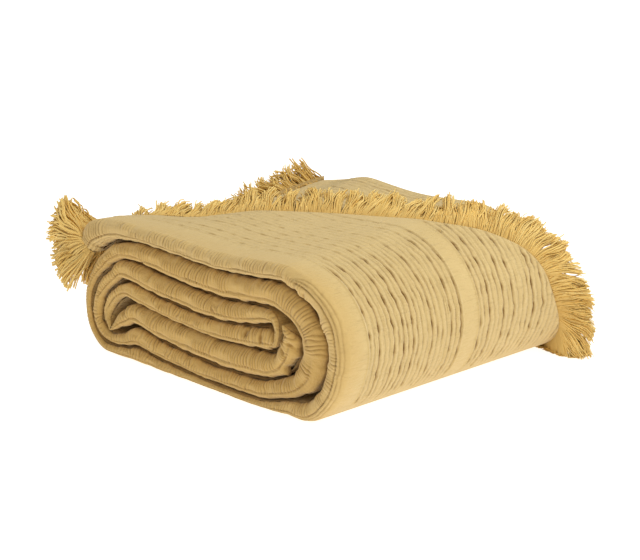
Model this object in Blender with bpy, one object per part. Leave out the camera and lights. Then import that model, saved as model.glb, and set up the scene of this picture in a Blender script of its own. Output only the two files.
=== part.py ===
"""A fringed, ribbed cotton blanket, folded lengthwise into a thick strip and wound into a flat roll.

Metres, +Z up. The roll's turns show at its near end, which faces -Y, and the fringed long edge is at
its far end. The origin is on the floor, under the middle of the roll's flat underside.
"""

import math
import random
from collections import namedtuple

import bmesh
import bpy
from mathutils import Vector

MM = 0.001

# The roll and its cloth
ROLL_NEAR_Y = -0.150
RIM_DEPTH = 0.302
RIM_PAST_LEAF = 0.008
TRIM = 0.001
THINNEST_HALF = 0.001
NOSE_REACH = 0.013
RIM_REACH = 0.006
LEAF_THICKNESS = 0.005
LEAF_SLANT = 0.0004
LEAF_RETURN_ROWS = 4
PRESSED_BELOW = 0.0022

# Ribs run round the roll, and stay off the ground it lies on
RIB_PITCH = 0.0071
RIB_HEIGHT = 0.0009
PLAIN_STRIPES = ((0.0, 0.034), (0.176, 0.2045))
RIBLESS_HEIGHT = 0.010
RIB_FADE = 0.020

# Fringe: how far its locks reach, and where along a lock it bends and how it thins
LOCK_LENGTH = 0.044
HIDDEN_LOCK_LENGTH = 0.035
LOCK_PITCH = 0.0090
HIDDEN_LOCK_PITCH = 0.0150
LOCK_BEND = 0.42
BEND_WIDTH = 0.62
TIP_WIDTH = 0.26
BEND_HEIGHT = 0.90
TIP_HEIGHT = 0.44
LOCK_SWAY = 0.20
SWAY_TURN = 0.45
SWAY_TOSS = 0.03
LEAN_TOSS = 7
LOCK_FLOOR = 0.0012
END_MARGIN = 0.010
BACKING_WIDTH = 0.0040
BACKING_HEIGHT = 0.0026
SEAM_GAP = 0.0008
RIM_SEAM_GAP = 0.0006
END_SEAM_GAP = 0.0018

# How the roll sags and draws in towards its back left corner
LEFT_PULL = 0.042
LEFT_SAG = 0.17
SAG_FROM_X = -0.060
SAG_WIDTH = 0.110
SAG_DEPTH = 0.175
SAG_RECOVERY = 0.45
RECOVERY_DEPTH = 0.130
SWELL = 0.010
SWELL_WAVES = (23, 19)
SWELL_START = 2.0

# The outer end slants: at the far rim it lies this many rows further along the strip
END_SKEW_ROWS = 1.5
SKEW_FADE_ROWS = 5

# The wound strip from its outer end to its core, in millimetres: the middle of the strip across and
# up, and how thick it is there
StripRow = namedtuple("StripRow", "across up thick")
STRIP = (
    # outer end and top
    (-200, 117, 32),
    (-190, 127, 34),
    (-160, 140, 24),
    (-120, 145, 20),
    (-80, 146, 20),
    (0, 147, 21.5),
    (60, 154, 21.5),
    (100, 159.5, 21),
    # first right bend
    (125, 154, 26),
    (148, 145, 27),
    (165, 130, 29),
    (177, 110, 31),
    (182, 85, 31),
    (178.5, 62, 28.5),
    (169.5, 41, 27.5),
    (154, 22.5, 25.5),
    (137, 12, 22),
    (110, 9.5, 18),
    # underside
    (80, 5.5, 11),
    (60, 4, 8.5),
    (0, 4, 8),
    (-80, 6, 12),
    (-120, 8, 16),
    (-138, 6.5, 13),
    (-155, 5.5, 11),
    # first left bend
    (-172, 6.5, 10),
    (-185, 16, 9),
    (-193, 30, 9),
    (-196.5, 48, 9.5),
    (-195, 65, 10),
    (-188, 83, 13),
    (-175, 100, 17),
    (-162, 112, 20),
    (-145, 121, 21),
    # second layer from the top
    (-120, 123.5, 25),
    (-80, 122, 28.5),
    (0, 120.7, 31.5),
    (60, 128, 30.5),
    (85, 130.5, 31),
    # second right bend
    (107, 127, 36),
    (124, 119.5, 36),
    (140, 105, 38),
    (146, 85, 39),
    (143, 65, 39),
    (134, 50, 35),
    (119, 36.5, 27),
    (100, 29, 24),
    # second layer from the floor
    (80, 22.5, 23),
    (60, 19, 21.5),
    (0, 17.5, 19),
    (-80, 22, 19.5),
    (-120, 28, 22),
    # second left bend
    (-140, 21, 16),
    (-158, 18, 13),
    (-172.5, 22, 14),
    (-182, 33, 13),
    (-183.5, 47, 16),
    (-180, 64, 16),
    (-170, 78, 17),
    (-158, 89.5, 17),
    (-145, 99, 23),
    # third layer from the top
    (-120, 98.5, 25),
    (-80, 94, 26.5),
    (0, 92, 26),
    (60, 102, 22),
    (80, 106, 17),
    # tight fold at the right
    (90, 104, 12),
    (94, 92, 9),
    (91, 78, 8),
    (80, 79, 24),
    # middle layer
    (60, 75.5, 25),
    (0, 68.5, 21),
    (-80, 71.5, 19),
    (-120, 76, 20),
    # third left bend, round a small pocket
    (-140, 77, 18),
    (-155, 68, 16),
    (-165, 54, 15),
    (-168, 43, 12),
    (-164, 33, 7),
    (-161, 28, 4),
    # core layer
    (-149, 40, 16),
    (-139, 46.5, 20),
    (-125, 53, 25),
    (-80, 47, 30.5),
    (0, 42.5, 31),
    (60, 46, 32),
    (80, 49, 29),
    # inner end, curled up against the second right bend
    (95, 56, 27),
    (106, 70, 26),
    (111, 85, 28),
    (108, 96, 13),
    (104, 103, 4),
)
UNDERSIDE = 18
LEFT_BEND = 24
OUTER_TURN = 33

# How deep the outermost layer of cloth reaches at each row above, before it ends in a fringe
LEAF_DEPTHS = (62, 78, 92, 108, 124, 182, 198, 206, 226, 257, 285, 302, 312, 325, 337, 346, 350, 350)

# How far below the leaf the cloth past it lies: all of this up to the underside
DROP_END_ROWS = 1.2
DROP_FADE_ROWS = 1.5

# The lowest and highest tilt of the outer end's locks above the level, in degrees, at depths in millimetres
EndTilt = namedtuple("EndTilt", "depth lowest highest")
END_TILTS = (
    EndTilt(0, -62, 40),
    EndTilt(60, -22, 22),
    EndTilt(200, -12, 18),
    EndTilt(302, 2, 40),
)
TILT_BEATS = (0.15, 0.95, 0.50, 0.0, 0.75)

# The stretches of the far rim whose fringe is hidden from the near side
RIM_FRINGES = ((15.2, 24.0), (24.4, 37.4), (37.8, 60.0), (60.4, 77.0), (80.0, 86.6))

# Where sections are taken: no further apart than this, and turning no more than this
OUTER_STEP = 0.022
OUTER_TURNING = 12
INNER_STEP = 0.042
INNER_TURNING = 24
END_ROUNDING = ((0.0, 0.42), (0.12, 0.74), (0.40, 0.94))

CLOTH_COLOUR = (0.60, 0.45, 0.22, 1.0)
FRINGE_COLOUR = (0.72, 0.50, 0.19, 1.0)


def clear_scene():
    for obj in list(bpy.data.objects):
        bpy.data.objects.remove(obj, do_unlink=True)


def material(name, colour):
    made = bpy.data.materials.new(name)
    made.use_nodes = True
    shader = made.node_tree.nodes["Principled BSDF"]
    shader.inputs["Base Color"].default_value = colour
    shader.inputs["Roughness"].default_value = 0.95
    shader.inputs["Metallic"].default_value = 0.0
    return made


def smooth(value):
    """0 below 0, 1 above 1, and an even S between."""
    value = min(max(value, 0.0), 1.0)
    return value * value * (3 - 2 * value)


def through(points, at):
    """A smooth curve through the points, read at a place counted in points."""
    last = len(points) - 1
    i = min(max(math.floor(at), 0), last - 1)
    t = at - i
    b, c = points[i], points[i + 1]
    a = points[i - 1] if i > 0 else 2 * b - c
    d = points[i + 2] if i + 2 <= last else 2 * c - b
    return 0.5 * (
        2 * b
        + (c - a) * t
        + (2 * a - 5 * b + 4 * c - d) * t * t
        + (3 * b - a - 3 * c + d) * t**3
    )


ROWS = [Vector(StripRow(*row)) * MM for row in STRIP]
LEAF_EDGES = [depth * MM for depth in LEAF_DEPTHS]
LAST = len(ROWS) - 1
ROW_NUDGE = 0.02


def strip_at(k):
    """The middle of the strip at row k, half its thickness, its heading and its outward side."""
    k = min(max(k, 0.0), LAST)
    here = StripRow(*through(ROWS, k))
    ahead = through(ROWS, min(k + ROW_NUDGE, LAST)) - through(ROWS, max(k - ROW_NUDGE, 0.0))
    heading = Vector((ahead.x, ahead.y)).normalized()
    half = max(here.thick / 2 - TRIM, THINNEST_HALF)
    return Vector((here.across, here.up)), half, heading, Vector((-heading.y, heading.x))


def leaf_edge(k):
    """How deep the outermost layer reaches, and near the rim once it has passed the underside."""
    last = len(LEAF_EDGES) - 1
    if k <= last:
        return through(LEAF_EDGES, max(k, 0.0))
    return LEAF_EDGES[-1] + (RIM_DEPTH - RIM_REACH - LEAF_EDGES[-1]) * smooth((k - last) / LEAF_RETURN_ROWS)


def rim(k):
    return max(RIM_DEPTH, leaf_edge(k) + RIM_PAST_LEAF)


def leaf_drop(k):
    """How far the cloth past the leaf lies below it, down to nothing on the underside."""
    return LEAF_THICKNESS * smooth((UNDERSIDE - DROP_END_ROWS - k) / DROP_FADE_ROWS)


def settled(x, depth, z):
    """Where a point of the roll comes to lie, sagging at the back left and pressed flat below."""
    left = smooth((SAG_FROM_X - x) / SAG_WIDTH)
    back = smooth(depth / RIM_DEPTH)
    sag = smooth(depth / SAG_DEPTH) - SAG_RECOVERY * smooth((depth - SAG_DEPTH) / RECOVERY_DEPTH)
    z *= 1 - LEFT_SAG * left * sag
    z *= 1 + SWELL * math.sin(SWELL_WAVES[0] * x + SWELL_START) * math.sin(SWELL_WAVES[1] * depth)
    z = 0.0 if z < PRESSED_BELOW else z
    return Vector((x + LEFT_PULL * left * back, ROLL_NEAR_Y + depth, z))


def place(k, depth, share, rise=0.0):
    """A point of the strip: share is its part of the half thickness, negative on the inward side."""
    k += END_SKEW_ROWS * depth / RIM_DEPTH * smooth(1 - k / SKEW_FADE_ROWS)
    middle, half, _, out = strip_at(k)
    lift = rise if share > 0 else -rise
    spot = middle + out * (half * share + lift)
    return settled(spot.x, depth, spot.y)


def ribbed_depths(start, stop):
    """(depth, is a crest) at each groove and crest between two depths, leaving out plain stripes."""
    found = []
    step = RIB_PITCH / 2
    clear = 0.6 * step
    for i in range(math.ceil(rim(UNDERSIDE) / step)):
        depth = PLAIN_STRIPES[0][1] + i * step
        plain = any(low < depth < high for low, high in PLAIN_STRIPES)
        if not plain and start + clear < depth < stop - clear:
            found.append((depth, i % 2 == 1))
    return found


def rib_rise(k, crest):
    """How far a crest stands out or a groove lies in, fading to nothing near the ground."""
    middle, half, _, out = strip_at(k)
    lift = smooth(((middle + out * half).y - RIBLESS_HEIGHT) / RIB_FADE)
    return (RIB_HEIGHT if crest else -RIB_HEIGHT) * lift


def arc(angles):
    """(share of its reach, share of the half thickness) round a rounded fold, from its tip."""
    return [(1 - math.cos(math.radians(a)), math.sin(math.radians(a))) for a in angles]


def section(k, fullness):
    """The strip's outline at row k as three runs of (depth, point): leaf, cloth past it, inner side."""
    _, half, _, _ = strip_at(k)
    nose, end_reach = min(NOSE_REACH, half), min(RIM_REACH, half)
    edge, end = leaf_edge(k), rim(k)
    lower = fullness - leaf_drop(k) / half
    ribbed = k < OUTER_TURN and not UNDERSIDE < k < LEFT_BEND
    leaf = [(nose * d, place(k, nose * d, f * fullness)) for d, f in arc((15, 45, 90))]
    past = [(edge + LEAF_SLANT, place(k, edge + LEAF_SLANT, lower))]
    if ribbed:
        for depth, crest in ribbed_depths(nose, edge):
            leaf.append((depth, place(k, depth, fullness, rib_rise(k, crest))))
        for depth, crest in ribbed_depths(edge + 1.7 * BACKING_WIDTH, end - end_reach):
            past.append((depth, place(k, depth, lower, rib_rise(k, crest))))
    leaf.append((edge, place(k, edge, fullness)))
    round_end = arc((20, 90)) if k > UNDERSIDE else arc((15, 50, 90))
    for d, f in reversed(round_end[:-1]):
        past.append((end - end_reach * d, place(k, end - end_reach * d, f * lower)))
    inner = [(end - end_reach * d, place(k, end - end_reach * d, -f * fullness)) for d, f in round_end]
    inner.append((end * 0.5, place(k, end * 0.5, -fullness)))
    for d, f in reversed(arc((15, 45, 90))):
        inner.append((nose * d, place(k, nose * d, -f * fullness)))
    return leaf, past, inner


def zip_rows(bm, first, second):
    """Triangles between two rows of (key, vertex), taking the nearer next vertex each time."""
    i = j = 0
    while i < len(first) - 1 or j < len(second) - 1:
        next_i = abs(first[i + 1][0] - second[j][0]) if i < len(first) - 1 else math.inf
        next_j = abs(second[j + 1][0] - first[i][0]) if j < len(second) - 1 else math.inf
        if next_i <= next_j:
            bm.faces.new((first[i][1], second[j][1], first[i + 1][1]))
            i += 1
        else:
            bm.faces.new((first[i][1], second[j][1], second[j + 1][1]))
            j += 1


def turning(k, other):
    return math.degrees(strip_at(k)[2].angle(strip_at(other)[2]))


def winding_stops():
    """The rows at which the section is taken, closer together round bends and on the outer turn."""
    stops = [(k, fullness) for k, fullness in END_ROUNDING]
    k = last = 1.0
    stops.append((last, 1.0))
    while k < LAST - ROW_NUDGE:
        k += 2.5 * ROW_NUDGE
        outer = k < OUTER_TURN
        step, most = (OUTER_STEP, OUTER_TURNING) if outer else (INNER_STEP, INNER_TURNING)
        here, there = strip_at(last)[0], strip_at(k)[0]
        if (here - there).length > step or turning(last, k) > most:
            last = k
            stops.append((last, 1.0))
    stops.append((LAST, 1.0))
    return stops


def new_object(name, bm, finish, collection):
    bmesh.ops.recalc_face_normals(bm, faces=bm.faces)
    mesh = bpy.data.meshes.new(name)
    bm.to_mesh(mesh)
    bm.free()
    mesh.materials.append(finish)
    obj = bpy.data.objects.new(name, mesh)
    collection.objects.link(obj)
    mesh.shade_smooth()
    mesh.set_sharp_from_angle(angle=math.radians(40))
    return obj


def wound_cloth(finish, collection):
    """The blanket: one strip from its outer end to its core, closed round every section."""
    bm = bmesh.new()
    rows = []
    for k, fullness in winding_stops():
        runs = section(k, fullness)
        rows.append([[(depth, bm.verts.new(point)) for depth, point in run] for run in runs])
    for a, b in zip(rows, rows[1:]):
        for run_a, run_b in zip(a, b):
            zip_rows(bm, run_a, run_b)
        for here, there in ((0, 1), (1, 2), (2, 0)):
            bm.faces.new((a[here][-1][1], a[there][0][1], b[there][0][1], b[here][-1][1]))
    for leaf, past, inner in (rows[0], rows[-1]):
        zip_rows(bm, leaf + past, inner[::-1])
    return new_object("blanket_roll", bm, finish, collection)


def spaced(start, stop, pitch):
    """Rows between two others, a pitch apart along the strip."""
    found, k, walked = [start], start, 0.0
    while k < stop:
        walked += (strip_at(k + ROW_NUDGE)[0] - strip_at(k)[0]).length
        k += ROW_NUDGE
        if walked >= pitch:
            found.append(k)
            walked = 0.0
    return found


def frames_of(spots, ups, gap=SEAM_GAP):
    """(middle, along, up, away) at each section of a backing that follows the cloth's edge."""
    frames = []
    for i, (spot, up) in enumerate(zip(spots, ups)):
        along = (spots[min(i + 1, len(spots) - 1)] - spots[max(i - 1, 0)]).normalized()
        up = (up - along * up.dot(along)).normalized()
        away = up.cross(along)
        frames.append((spot + away * (gap + BACKING_WIDTH / 2), along, up, away))
    return frames


def ring(bm, centre, wide, high):
    """Four corners round a lock, none of them below the ground."""
    corners = [centre + wide * a + high * b for a, b in ((-1, 1), (1, 1), (1, -1), (-1, -1))]
    return [bm.verts.new((corner.x, corner.y, max(corner.z, 0.0))) for corner in corners]


def join(bm, first, second):
    for i in range(4):
        j = (i + 1) % 4
        bm.faces.new((first[i], first[j], second[j], second[i]))


def grow_lock(bm, root, frame, length, lean, sway, drop):
    """A tapered lock of fringe grown from four corners of its backing, leaning so many degrees up."""
    _, along, up, away = frame
    lean = math.radians(lean)
    aim = (away * math.cos(lean) + up * math.sin(lean) + along * sway).normalized()
    centre = sum((corner.co for corner in root), Vector()) / 4
    wide = along * ((root[1].co - root[0].co).length / 2)
    high = along.cross(aim).normalized() * BACKING_HEIGHT / 2
    bend = centre + aim * length * LOCK_BEND
    tip = bend + (aim + Vector((0, 0, -drop))).normalized() * length * (1 - LOCK_BEND)
    bend.z, tip.z = max(bend.z, 2 * LOCK_FLOOR), max(tip.z, LOCK_FLOOR)
    middle = ring(bm, bend, wide * BEND_WIDTH, high * BEND_HEIGHT)
    last = ring(bm, tip, wide * TIP_WIDTH, high * TIP_HEIGHT)
    join(bm, root, middle)
    join(bm, middle, last)
    bm.faces.new(last)


def fringe(name, frames, leans, drop, length, finish, collection):
    """Locks that stand apart, swaying in slow waves, their roots fused in one narrow backing."""
    chance = random.Random(len(frames))
    bm = bmesh.new()
    sections = []
    for spot, _, up, away in frames:
        front, high = away * BACKING_WIDTH / 2, up * BACKING_HEIGHT / 2
        corners = (high - front, high + front, front - high, -front - high)
        sections.append([bm.verts.new(spot + corner) for corner in corners])
    for a, b in zip(sections, sections[1:]):
        for i, j in ((0, 1), (2, 3), (3, 0)):
            bm.faces.new((a[i], a[j], b[j], b[i]))
    for i, (here, there) in enumerate(zip(sections, sections[1:])):
        root = [here[1], there[1], there[2], here[2]]
        lean = leans[i] + chance.uniform(-LEAN_TOSS, LEAN_TOSS)
        sway = LOCK_SWAY * math.sin(SWAY_TURN * i) + chance.uniform(-SWAY_TOSS, SWAY_TOSS)
        grow_lock(bm, root, frames[i], length * chance.uniform(0.86, 1.10), lean, sway, drop)
    bm.faces.new(sections[0])
    bm.faces.new(sections[-1])
    return new_object(name, bm, finish, collection)


def even_leans(frames, first, last):
    """A lean for each frame, from the first to the last by even steps."""
    return [first + (last - first) * i / (len(frames) - 1) for i in range(len(frames))]


def end_leans(frames):
    """Tilts from the table, fanning out lock by lock, as leans away from each frame's own heading."""
    leans = []
    for i, (spot, _, _, away) in enumerate(frames):
        depth = (spot.y - ROLL_NEAR_Y) / MM
        later = next(row for row, tilt in enumerate(END_TILTS) if row and depth <= tilt.depth)
        before, after = END_TILTS[later - 1], END_TILTS[later]
        share = (depth - before.depth) / (after.depth - before.depth)
        lowest = before.lowest + (after.lowest - before.lowest) * share
        highest = before.highest + (after.highest - before.highest) * share
        tilt = lowest + (highest - lowest) * TILT_BEATS[i % len(TILT_BEATS)]
        leans.append(tilt - math.degrees(math.atan2(away.z, -away.x)))
    return leans


def leaf_frames(start, stop):
    """Frames along the step where the outermost layer ends."""
    spots, ups = [], []
    for k in spaced(start, stop, LOCK_PITCH):
        _, half, _, out = strip_at(k)
        share = 1 - leaf_drop(k) / half
        spots.append(place(k, leaf_edge(k) + LEAF_SLANT, share, SEAM_GAP + BACKING_HEIGHT / 2))
        ups.append(Vector((out.x, 0, out.y)))
    return frames_of(spots, ups)


def rim_frames(start, stop):
    """Frames along the middle of the strip's far rim."""
    spots, ups = [], []
    for k in spaced(start, stop, HIDDEN_LOCK_PITCH):
        _, _, _, out = strip_at(k)
        spots.append(place(k, rim(k), 0.0))
        ups.append(Vector((out.x, 0, out.y)))
    return frames_of(spots, ups, RIM_SEAM_GAP)


def end_frames():
    """Frames down the strip's outer end, from the near face to the far rim."""
    spots, ups = [], []
    reach = RIM_DEPTH - 2 * END_MARGIN
    count = round(reach / LOCK_PITCH)
    for i in range(count + 1):
        depth = END_MARGIN + reach * i / count
        _, _, _, out = strip_at(END_SKEW_ROWS * depth / RIM_DEPTH)
        spots.append(place(0.0, depth, 0.0))
        ups.append(Vector((out.x, 0, out.y)))
    return frames_of(spots, ups, END_SEAM_GAP)


def build():
    clear_scene()
    collection = bpy.data.collections.new("rolled_blanket")
    bpy.context.scene.collection.children.link(collection)
    cloth = material("ribbed_cotton", CLOTH_COLOUR)
    strands = material("fringe_cotton", FRINGE_COLOUR)
    wound_cloth(cloth, collection)
    looks = (strands, collection)
    end, top, side = end_frames(), leaf_frames(0.6, 8.0), leaf_frames(8.1, 14.6)
    fringe("fringe_end", end, end_leans(end), 0.10, LOCK_LENGTH, *looks)
    fringe("fringe_top", top, even_leans(top, 12, 26), 0.3, LOCK_LENGTH, *looks)
    fringe("fringe_side", side, even_leans(side, 20, 15), 0.25, LOCK_LENGTH, *looks)
    for number, (start, stop) in enumerate(RIM_FRINGES, 1):
        far = rim_frames(start, stop)
        fringe(f"fringe_rim_{number}", far, even_leans(far, 0, 0), 0.15, HIDDEN_LOCK_LENGTH, *looks)


build()
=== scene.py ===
import math

import bpy
import numpy as np
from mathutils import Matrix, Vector


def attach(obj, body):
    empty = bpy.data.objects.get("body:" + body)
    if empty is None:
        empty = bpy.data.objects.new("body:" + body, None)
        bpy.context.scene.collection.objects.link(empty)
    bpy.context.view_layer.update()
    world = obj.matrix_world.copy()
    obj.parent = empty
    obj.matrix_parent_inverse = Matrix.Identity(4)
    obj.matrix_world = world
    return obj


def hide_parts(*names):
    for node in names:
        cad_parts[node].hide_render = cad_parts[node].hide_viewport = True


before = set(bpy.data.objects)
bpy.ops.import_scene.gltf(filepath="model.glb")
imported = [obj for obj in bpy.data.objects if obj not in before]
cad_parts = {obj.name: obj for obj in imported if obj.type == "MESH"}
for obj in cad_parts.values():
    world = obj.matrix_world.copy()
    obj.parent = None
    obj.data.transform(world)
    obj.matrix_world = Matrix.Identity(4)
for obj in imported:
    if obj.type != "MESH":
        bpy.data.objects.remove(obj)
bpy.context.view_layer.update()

print("frame loaded:", ", ".join(sorted(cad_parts)))

# The roll has the sizes of its solids. Lengths are metres, depths run back from the near face, and a place along
# the strip, called k, counts the rows of stripRows. The outermost layer of cloth, called the leaf, ends in a fringe.
roll = {
    "nearY": -0.150,
    "rimDepth": 0.302,
    "rimPastLeaf": 0.008,
    "leafBehindRim": 0.006,
    "leafToRimRows": 4,
    "leafThickness": 0.005,
    "dropEndRows": 1.2,
    "dropFadeRows": 1.5,
    "trim": 0.001,
    "thinnestHalf": 0.001,
    "noseReach": 0.013,
    "rimReach": 0.006,
    "endSkew": 1.5,
    "endSkewRows": 5,
    "underside": 18,
    "slopeStep": 0.02,
    "lengthSamples": 9001,
}

# middle of the strip across and up, and its thickness, in millimetres, from the outer end to the core
stripRows = np.array([
    # outer end and top
    (-200, 117, 32), (-190, 127, 34), (-160, 140, 24), (-120, 145, 20), (-80, 146, 20), (0, 147, 21.5),
    (60, 154, 21.5), (100, 159.5, 21),
    # first right bend
    (125, 154, 26), (148, 145, 27), (165, 130, 29), (177, 110, 31), (182, 85, 31), (178.5, 62, 28.5),
    (169.5, 41, 27.5), (154, 22.5, 25.5), (137, 12, 22), (110, 9.5, 18),
    # underside
    (80, 5.5, 11), (60, 4, 8.5), (0, 4, 8), (-80, 6, 12), (-120, 8, 16), (-138, 6.5, 13), (-155, 5.5, 11),
    # first left bend
    (-172, 6.5, 10), (-185, 16, 9), (-193, 30, 9), (-196.5, 48, 9.5), (-195, 65, 10), (-188, 83, 13),
    (-175, 100, 17), (-162, 112, 20), (-145, 121, 21),
    # second layer from the top
    (-120, 123.5, 25), (-80, 122, 28.5), (0, 120.7, 31.5), (60, 128, 30.5), (85, 130.5, 31),
    # second right bend
    (107, 127, 36), (124, 119.5, 36), (140, 105, 38), (146, 85, 39), (143, 65, 39), (134, 50, 35),
    (119, 36.5, 27), (100, 29, 24),
    # second layer from the floor
    (80, 22.5, 23), (60, 19, 21.5), (0, 17.5, 19), (-80, 22, 19.5), (-120, 28, 22),
    # second left bend
    (-140, 21, 16), (-158, 18, 13), (-172.5, 22, 14), (-182, 33, 13), (-183.5, 47, 16), (-180, 64, 16),
    (-170, 78, 17), (-158, 89.5, 17), (-145, 99, 23),
    # third layer from the top
    (-120, 98.5, 25), (-80, 94, 26.5), (0, 92, 26), (60, 102, 22), (80, 106, 17),
    # tight fold at the right
    (90, 104, 12), (94, 92, 9), (91, 78, 8), (80, 79, 24),
    # middle layer
    (60, 75.5, 25), (0, 68.5, 21), (-80, 71.5, 19), (-120, 76, 20),
    # third left bend, round a small pocket
    (-140, 77, 18), (-155, 68, 16), (-165, 54, 15), (-168, 43, 12), (-164, 33, 7), (-161, 28, 4),
    # core layer
    (-149, 40, 16), (-139, 46.5, 20), (-125, 53, 25), (-80, 47, 30.5), (0, 42.5, 31), (60, 46, 32),
    (80, 49, 29),
    # inner end, curled up against the second right bend
    (95, 56, 27), (106, 70, 26), (111, 85, 28), (108, 96, 13), (104, 103, 4),
], float) * 0.001

# how deep the leaf reaches at each of the first rows, in millimetres
leafDepths = np.array([
    62, 78, 92, 108, 124, 182, 198, 206, 226, 257, 285, 302, 312, 325, 337, 346, 350, 350,
], float) * 0.001
lastRow = len(stripRows) - 1
leafRow = len(leafDepths) - 1

# The left side is drawn in and sags towards the middle of the depth, and the whole roll swells a little unevenly
settling = {
    "leftFrom": 0.06,
    "leftOver": 0.11,
    "pull": 0.042,
    "sag": 0.17,
    "sagDepth": 0.175,
    "risesAgain": 0.45,
    "risesOver": 0.13,
    "swell": 0.010,
    "swellAcross": 23,
    "swellStart": 2.0,
    "swellBack": 19,
    "lowest": 0.0003,
}


def easeStep(value):
    value = np.clip(value, 0.0, 1.0)
    return value * value * (3 - 2 * value)


def bell(distance, width):
    return np.exp(-(distance / width) ** 2)


def curveAt(points, k):
    # a smooth curve through the points, at place k
    last = len(points) - 1
    k = np.clip(k, 0, last)
    i = np.clip(np.floor(k).astype(int), 0, last - 1)
    t = k - i
    ended = np.concatenate([[2 * points[0] - points[1]], points, [2 * points[-1] - points[-2]]])
    a, b, c, d = ended[i], ended[i + 1], ended[i + 2], ended[i + 3]
    if points.ndim > 1:
        t = t[..., None]
    bent = (2 * a - 5 * b + 4 * c - d) * t * t + (3 * b - a - 3 * c + d) * t**3
    return 0.5 * (2 * b + (c - a) * t + bent)


def stripAt(k):
    # the strip's middle, its half thickness, and the directions along it and outward
    here = curveAt(stripRows, k)
    ahead = curveAt(stripRows, k + roll["slopeStep"]) - curveAt(stripRows, k - roll["slopeStep"])
    heading = ahead[..., :2] / np.linalg.norm(ahead[..., :2], axis=-1, keepdims=True)
    half = np.maximum(here[..., 2] / 2 - roll["trim"], roll["thinnestHalf"])
    outward = np.stack([-heading[..., 1], heading[..., 0]], -1)
    return here[..., :2], half, heading, outward


def leafEdge(k):
    merged = roll["rimDepth"] - roll["leafBehindRim"]
    past = leafDepths[-1] + (merged - leafDepths[-1]) * easeStep((k - leafRow) / roll["leafToRimRows"])
    return np.where(k <= leafRow, curveAt(leafDepths, k), past)


def rimAt(k):
    return np.maximum(roll["rimDepth"], leafEdge(k) + roll["rimPastLeaf"])


def leafDrop(k):
    return roll["leafThickness"] * easeStep((roll["underside"] - roll["dropEndRows"] - k) / roll["dropFadeRows"])


def settled(x, depth, z):
    own = settling
    left = easeStep((-x - own["leftFrom"]) / own["leftOver"])
    sag = easeStep(depth / own["sagDepth"])
    sag = sag - own["risesAgain"] * easeStep((depth - own["sagDepth"]) / own["risesOver"])
    swell = np.sin(own["swellAcross"] * x + own["swellStart"]) * np.sin(own["swellBack"] * depth)
    z = z * (1 - own["sag"] * left * sag) * (1 + own["swell"] * swell)
    x = x + own["pull"] * left * easeStep(depth / roll["rimDepth"])
    return np.stack([x, roll["nearY"] + depth, np.maximum(z, own["lowest"])], -1)


def place(k, depth, share, rise=0.0):
    # share runs from 1 on the outward side of the strip to -1 on the inward side
    k, depth, share, rise = np.broadcast_arrays(*(np.asarray(v, float) for v in (k, depth, share, rise)))
    k = k + roll["endSkew"] * depth / roll["rimDepth"] * easeStep(1 - k / roll["endSkewRows"])
    middle, half, _, outward = stripAt(k)
    spot = middle + outward * (half * share + rise)[..., None]
    return settled(spot[..., 0], depth, spot[..., 1])


fineRows = np.linspace(0, lastRow, roll["lengthSamples"])
fineMiddles = stripAt(fineRows)[0]
walked = np.concatenate([[0], np.cumsum(np.linalg.norm(np.diff(fineMiddles, axis=0), axis=1))])


def lengthAt(k):
    return np.interp(k, fineRows, walked)


def rowAt(length):
    return np.interp(length, walked, fineRows)


def rowsBetween(start, stop, step):
    # places from start to stop, a step apart in metres
    a, b = lengthAt(start), lengthAt(stop)
    return rowAt(np.linspace(a, b, max(2, int(round((b - a) / step)) + 1)))


def inSpace(direction):
    # a direction across and up, as one in space
    return np.stack([direction[:, 0], 0 * direction[:, 0], direction[:, 1]], 1)


def noseDepth(k):
    return np.minimum(roll["noseReach"], stripAt(k)[1])


def rimStart(k):
    return rimAt(k) - np.minimum(roll["rimReach"], stripAt(k)[1])


def cellNoise(values, seed):
    # an even chance from 0 to 1 for each whole number, the same at every run
    return np.modf(np.abs(np.sin(values * 127.1 + seed * 311.7) * 43758.5453))[0]


def softNoise(u, v, seed):
    # smooth noise from -1 to 1, with a knot at each whole u and v
    i, j = np.floor(u), np.floor(v)
    f, g = easeStep(u - i), easeStep(v - j)

    def corner(a, b):
        return cellNoise(a + b * 57.0, seed)

    low = corner(i, j) * (1 - f) + corner(i + 1, j) * f
    high = corner(i, j + 1) * (1 - f) + corner(i + 1, j + 1) * f
    return 2 * (low * (1 - g) + high * g) - 1


def noiseOver(kind, along, across, seed):
    # kind holds the noise's size, its wave along the strip and its wave across
    size, waveAlong, waveAcross = kind
    return size * softNoise(along / waveAlong, across / waveAcross, seed)


def noiseEach(kind, along, across, seed):
    # kind holds the noise's size, its wave along the strip, and how fast it changes across, groove by groove
    size, wave, change = kind
    return size * softNoise(along / wave, across * change, seed)


# Padded ribs run along the strip. Some of the grooves between them are deep, and two plain stripes part the ribs.
ribs = {
    "pitch": 0.0071,
    "start": 0.0411,
    "plainFrom": 0.176,
    "plainTo": 0.2045,
    "edgeFade": 0.002,
    "height": 0.0019,
    "deepHeight": 1.25,
    "fineHeight": 0.85,
    "deepEvery": 3,
    "roundness": 0.34,
    "level": 0.75,
    "padding": 0.80,
    "paddingNoise": (0.45, 0.017, 1.7),
    "waver": (0.15, 0.021, 0.016),
    "zigzag": (0.13, 0.0056, 0.009),
    "crinkle": (0.0003, 0.0048, 0.0034),
    "borders": (0, 19, 23),
    "ridge": 0.0012,
    "ridgeWidth": 0.0009,
    "ridgeInset": 0.0024,
    # the painted shade along each groove: its thinness, its share, more in deep grooves, and its noise
    "lineThinness": 1.1,
    "line": 0.50,
    "deepLine": 0.40,
    "lineNoise": (0.24, 0.012, 3.7),
}

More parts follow.
